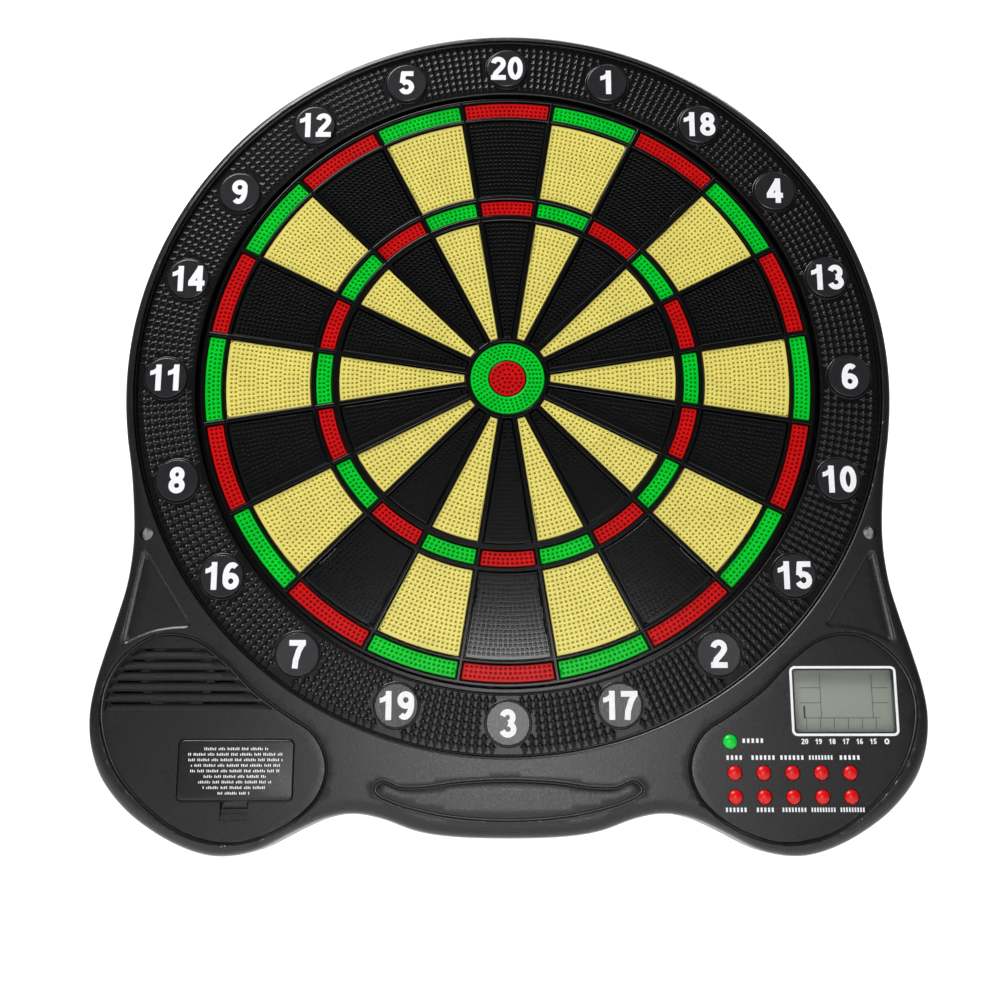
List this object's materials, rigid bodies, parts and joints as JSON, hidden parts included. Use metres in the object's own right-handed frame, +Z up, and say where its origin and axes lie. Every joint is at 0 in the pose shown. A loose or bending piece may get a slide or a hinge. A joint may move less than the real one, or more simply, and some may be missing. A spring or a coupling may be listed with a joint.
{
  "type": "electronic dartboard",
  "caption": "Wall-hung electronic dartboard with pressable segments, a numbered catch ring, a display and button panel, and a hinged battery door.",
  "frame": {"origin": "on the wall face, behind the centre of the bull", "axes": "+X to the player's right, +Y into the wall, +Z up"},
  "size_m": [0.4504, 0.0288, 0.479],
  "materials": {
    "case_plastic": "satin moulded ABS, charcoal",
    "back_plastic": "black moulded ABS",
    "ring_plastic": "black, moulded with small raised studs",
    "disc_plastic": "satin dark grey number discs",
    "number_white": "white printed numbers and signs",
    "web_plastic": "black, satin",
    "segment_red": "perforated thermoplastic",
    "segment_green": "perforated thermoplastic",
    "segment_cream": "perforated thermoplastic",
    "segment_black": "perforated thermoplastic",
    "hardboard": "pressed board",
    "polyester_film": "printed film",
    "foam": "closed-cell foam",
    "keypad_rubber": "silicone",
    "circuit_board": "coated laminate",
    "chip_epoxy": "moulded epoxy",
    "lcd_glass": "grey-green liquid crystal glass",
    "lcd_ink": "dark display segments",
    "light_guide": "frosted acrylic",
    "connector_rubber": "layered elastomer",
    "window_clear": "clear polycarbonate",
    "speaker_steel": "pressed steel",
    "magnet": "ferrite",
    "speaker_paper": "pressed paper",
    "contact_steel": "nickel-plated spring steel",
    "battery_sleeve": "printed sleeve",
    "wire_jacket": "insulated wire",
    "screw_steel": "zinc-plated",
    "button_red": "glossy domed cap",
    "button_green": "glossy domed cap"
  },
  "bodies": {
    "root": {"front_housing": "case_plastic", "back_cover": "back_plastic", "catch_ring": "ring_plastic", "spider": "web_plastic", "backing_board": "hardboard", "membrane_rear": "polyester_film", "membrane_spacer": "polyester_film", "membrane_front": "polyester_film", "membrane_tail": "polyester_film", "damping_sheet": "foam", "keypad_membrane": "keypad_rubber", "circuit_board": "circuit_board", "controller_chip": "chip_epoxy", "lcd_panel": "lcd_glass", "lcd_backlight": "light_guide", "lcd_connector": "connector_rubber", "display_window": "window_clear", "speaker_frame": "speaker_steel", "speaker_magnet": "magnet", "speaker_cone": "speaker_paper", "battery_box": "back_plastic", "battery_contacts": "contact_steel", "batteries": "battery_sleeve", "wires": "wire_jacket", "case_screws": "screw_steel", "board_screws": "screw_steel"},
    "bull_outer": {"bull_outer": "segment_green"},
    "bull_inner": {"bull_inner": "segment_red"},
    "target_20": {"target_20": "segment_black"},
    "target_1": {"target_1": "segment_cream"},
    "target_18": {"target_18": "segment_black"},
    "target_4": {"target_4": "segment_cream"},
    "target_13": {"target_13": "segment_black"},
    "target_6": {"target_6": "segment_cream"},
    "target_10": {"target_10": "segment_black"},
    "target_15": {"target_15": "segment_cream"},
    "target_2": {"target_2": "segment_black"},
    "target_17": {"target_17": "segment_cream"},
    "target_3": {"target_3": "segment_black"},
    "target_19": {"target_19": "segment_cream"},
    "target_7": {"target_7": "segment_black"},
    "target_16": {"target_16": "segment_cream"},
    "target_8": {"target_8": "segment_black"},
    "target_11": {"target_11": "segment_cream"},
    "target_14": {"target_14": "segment_black"},
    "target_9": {"target_9": "segment_cream"},
    "target_12": {"target_12": "segment_black"},
    "target_5": {"target_5": "segment_cream"},
    "power_button": {"power_button": "button_green"},
    "game_button": {"game_button": "button_red"},
    "option_button": {"option_button": "button_red"},
    "player_button": {"player_button": "button_red"},
    "handicap_button": {"handicap_button": "button_red"},
    "light_button": {"light_button": "button_red"},
    "double_button": {"double_button": "button_red"},
    "sound_button": {"sound_button": "button_red"},
    "eliminate_button": {"eliminate_button": "button_red"},
    "score_button": {"score_button": "button_red"},
    "start_button": {"start_button": "button_red"},
    "battery_door": {"battery_door": "case_plastic"}
  },
  "joints": [
    {"name": "bull_outer_press", "type": "slide", "parent": "root", "child": "bull_outer", "axis": [0, 1, 0], "range_m": [0, 0.0012], "stiffness_N_per_m": 800},
    {"name": "bull_inner_press", "type": "slide", "parent": "root", "child": "bull_inner", "axis": [0, 1, 0], "range_m": [0, 0.0012], "stiffness_N_per_m": 800},
    {"name": "target_20_press", "type": "slide", "parent": "root", "child": "target_20", "axis": [0, 1, 0], "range_m": [0, 0.0012], "stiffness_N_per_m": 800},
    {"name": "target_1_press", "type": "slide", "parent": "root", "child": "target_1", "axis": [0, 1, 0], "range_m": [0, 0.0012], "stiffness_N_per_m": 800},
    {"name": "target_18_press", "type": "slide", "parent": "root", "child": "target_18", "axis": [0, 1, 0], "range_m": [0, 0.0012], "stiffness_N_per_m": 800},
    {"name": "target_4_press", "type": "slide", "parent": "root", "child": "target_4", "axis": [0, 1, 0], "range_m": [0, 0.0012], "stiffness_N_per_m": 800},
    {"name": "target_13_press", "type": "slide", "parent": "root", "child": "target_13", "axis": [0, 1, 0], "range_m": [0, 0.0012], "stiffness_N_per_m": 800},
    {"name": "target_6_press", "type": "slide", "parent": "root", "child": "target_6", "axis": [0, 1, 0], "range_m": [0, 0.0012], "stiffness_N_per_m": 800},
    {"name": "target_10_press", "type": "slide", "parent": "root", "child": "target_10", "axis": [0, 1, 0], "range_m": [0, 0.0012], "stiffness_N_per_m": 800},
    {"name": "target_15_press", "type": "slide", "parent": "root", "child": "target_15", "axis": [0, 1, 0], "range_m": [0, 0.0012], "stiffness_N_per_m": 800},
    {"name": "target_2_press", "type": "slide", "parent": "root", "child": "target_2", "axis": [0, 1, 0], "range_m": [0, 0.0012], "stiffness_N_per_m": 800},
    {"name": "target_17_press", "type": "slide", "parent": "root", "child": "target_17", "axis": [0, 1, 0], "range_m": [0, 0.0012], "stiffness_N_per_m": 800},
    {"name": "target_3_press", "type": "slide", "parent": "root", "child": "target_3", "axis": [0, 1, 0], "range_m": [0, 0.0012], "stiffness_N_per_m": 800},
    {"name": "target_19_press", "type": "slide", "parent": "root", "child": "target_19", "axis": [0, 1, 0], "range_m": [0, 0.0012], "stiffness_N_per_m": 800},
    {"name": "target_7_press", "type": "slide", "parent": "root", "child": "target_7", "axis": [0, 1, 0], "range_m": [0, 0.0012], "stiffness_N_per_m": 800},
    {"name": "target_16_press", "type": "slide", "parent": "root", "child": "target_16", "axis": [0, 1, 0], "range_m": [0, 0.0012], "stiffness_N_per_m": 800},
    {"name": "target_8_press", "type": "slide", "parent": "root", "child": "target_8", "axis": [0, 1, 0], "range_m": [0, 0.0012], "stiffness_N_per_m": 800},
    {"name": "target_11_press", "type": "slide", "parent": "root", "child": "target_11", "axis": [0, 1, 0], "range_m": [0, 0.0012], "stiffness_N_per_m": 800},
    {"name": "target_14_press", "type": "slide", "parent": "root", "child": "target_14", "axis": [0, 1, 0], "range_m": [0, 0.0012], "stiffness_N_per_m": 800},
    {"name": "target_9_press", "type": "slide", "parent": "root", "child": "target_9", "axis": [0, 1, 0], "range_m": [0, 0.0012], "stiffness_N_per_m": 800},
    {"name": "target_12_press", "type": "slide", "parent": "root", "child": "target_12", "axis": [0, 1, 0], "range_m": [0, 0.0012], "stiffness_N_per_m": 800},
    {"name": "target_5_press", "type": "slide", "parent": "root", "child": "target_5", "axis": [0, 1, 0], "range_m": [0, 0.0012], "stiffness_N_per_m": 800},
    {"name": "power_button_press", "type": "slide", "parent": "root", "child": "power_button", "axis": [0, 1, 0], "range_m": [0, 0.001], "stiffness_N_per_m": 150},
    {"name": "game_button_press", "type": "slide", "parent": "root", "child": "game_button", "axis": [0, 1, 0], "range_m": [0, 0.001], "stiffness_N_per_m": 150},
    {"name": "option_button_press", "type": "slide", "parent": "root", "child": "option_button", "axis": [0, 1, 0], "range_m": [0, 0.001], "stiffness_N_per_m": 150},
    {"name": "player_button_press", "type": "slide", "parent": "root", "child": "player_button", "axis": [0, 1, 0], "range_m": [0, 0.001], "stiffness_N_per_m": 150},
    {"name": "handicap_button_press", "type": "slide", "parent": "root", "child": "handicap_button", "axis": [0, 1, 0], "range_m": [0, 0.001], "stiffness_N_per_m": 150},
    {"name": "light_button_press", "type": "slide", "parent": "root", "child": "light_button", "axis": [0, 1, 0], "range_m": [0, 0.001], "stiffness_N_per_m": 150},
    {"name": "double_button_press", "type": "slide", "parent": "root", "child": "double_button", "axis": [0, 1, 0], "range_m": [0, 0.001], "stiffness_N_per_m": 150},
    {"name": "sound_button_press", "type": "slide", "parent": "root", "child": "sound_button", "axis": [0, 1, 0], "range_m": [0, 0.001], "stiffness_N_per_m": 150},
    {"name": "eliminate_button_press", "type": "slide", "parent": "root", "child": "eliminate_button", "axis": [0, 1, 0], "range_m": [0, 0.001], "stiffness_N_per_m": 150},
    {"name": "score_button_press", "type": "slide", "parent": "root", "child": "score_button", "axis": [0, 1, 0], "range_m": [0, 0.001], "stiffness_N_per_m": 150},
    {"name": "start_button_press", "type": "slide", "parent": "root", "child": "start_button", "axis": [0, 1, 0], "range_m": [0, 0.001], "stiffness_N_per_m": 150},
    {"name": "battery_door_hinge", "type": "hinge", "parent": "root", "child": "battery_door", "pos_m": [-0.1442, -0.026, -0.2026], "axis": [-1, 0, 0], "range_deg": [0, 75]}
  ]
}
